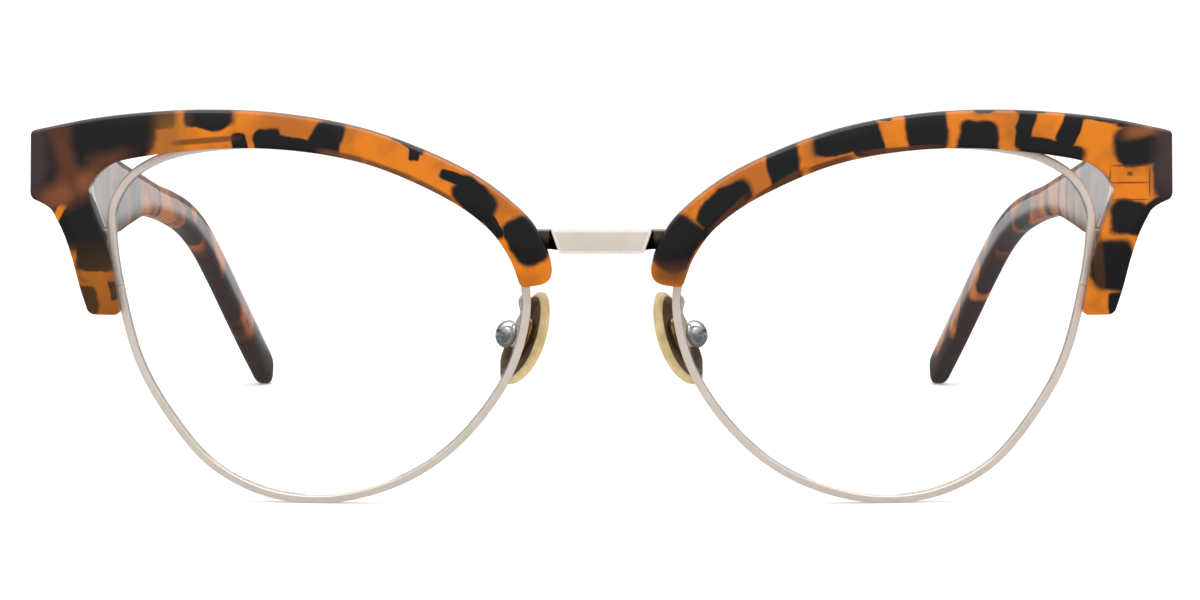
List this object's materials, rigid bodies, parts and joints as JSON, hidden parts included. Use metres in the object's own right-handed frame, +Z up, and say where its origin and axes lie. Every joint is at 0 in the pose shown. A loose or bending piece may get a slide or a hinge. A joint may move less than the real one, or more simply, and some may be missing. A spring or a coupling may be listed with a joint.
{
  "type": "browline eyeglasses",
  "caption": "Eyeglasses with tortoise acetate brows over full metal eyewires, a flat metal bridge, swivelling nose pads and folding temples.",
  "frame": {"origin": "on the surface the glasses stand on, midway between the front of the bridge and the temple tips, on the mirror plane", "axes": "+Z up, the front of the glasses faces -Y, the temples run back towards +Y, +X is the wearer's left"},
  "size_m": [0.1414, 0.1463, 0.0487],
  "materials": {
    "tortoise": "polished tortoise acetate, dark brown and amber patches",
    "champagne": "polished champagne gold plating",
    "bridge_metal": "satin cream-gold lacquer on metal",
    "lens": "clear coated lens",
    "steel": "polished nickel silver",
    "core": "drawn nickel silver wire",
    "gold": "polished gold plating",
    "silicone": "translucent beige silicone, slightly satin"
  },
  "bodies": {
    "front": {"bridge": "bridge_metal", "brow_left": "tortoise", "brow_right": "tortoise", "rim_left": "champagne", "rim_right": "champagne", "lens_left": "lens", "lens_right": "lens", "rim_lock_upper_left": "champagne", "rim_lock_upper_right": "champagne", "rim_lock_lower_left": "champagne", "rim_lock_lower_right": "champagne", "rim_lock_screw_left": "steel", "rim_lock_screw_right": "steel", "rim_tab_left": "champagne", "rim_tab_right": "champagne", "brow_screw_nasal_left": "steel", "brow_screw_nasal_right": "steel", "brow_screw_temporal_left": "steel", "brow_screw_temporal_right": "steel", "pad_arm_left": "champagne", "pad_arm_right": "champagne", "hinge_front_left": "steel", "hinge_front_right": "steel", "hinge_screw_left": "steel", "hinge_screw_right": "steel"},
    "temple_left_arm": {"temple_left": "tortoise", "temple_core_left": "core", "hinge_temple_left": "steel"},
    "temple_right_arm": {"temple_right": "tortoise", "temple_core_right": "core", "hinge_temple_right": "steel"},
    "pad_left_assembly": {"nose_pad_left": "silicone", "pad_stud_left": "gold", "pad_nut_left": "steel"},
    "pad_right_assembly": {"nose_pad_right": "silicone", "pad_stud_right": "gold", "pad_nut_right": "steel"}
  },
  "joints": [
    {"name": "temple_left_fold", "type": "hinge", "parent": "front", "child": "temple_left_arm", "pos_m": [0.0649, -0.05785, 0.0397], "axis": [0, 0, 1], "range_deg": [0, 86]},
    {"name": "temple_right_fold", "type": "hinge", "parent": "front", "child": "temple_right_arm", "pos_m": [-0.0649, -0.05785, 0.0397], "axis": [0, 0, -1], "range_deg": [0, 79]},
    {"name": "pad_left_swivel", "type": "hinge", "parent": "front", "child": "pad_left_assembly", "pos_m": [0.00915, -0.0624, 0.02], "axis": [-0.8122, 0.5114, -0.2808], "range_deg": [-12, 12]},
    {"name": "pad_right_swivel", "type": "hinge", "parent": "front", "child": "pad_right_assembly", "pos_m": [-0.00915, -0.0624, 0.02], "axis": [0.8122, 0.5114, -0.2808], "range_deg": [-12, 12]}
  ]
}
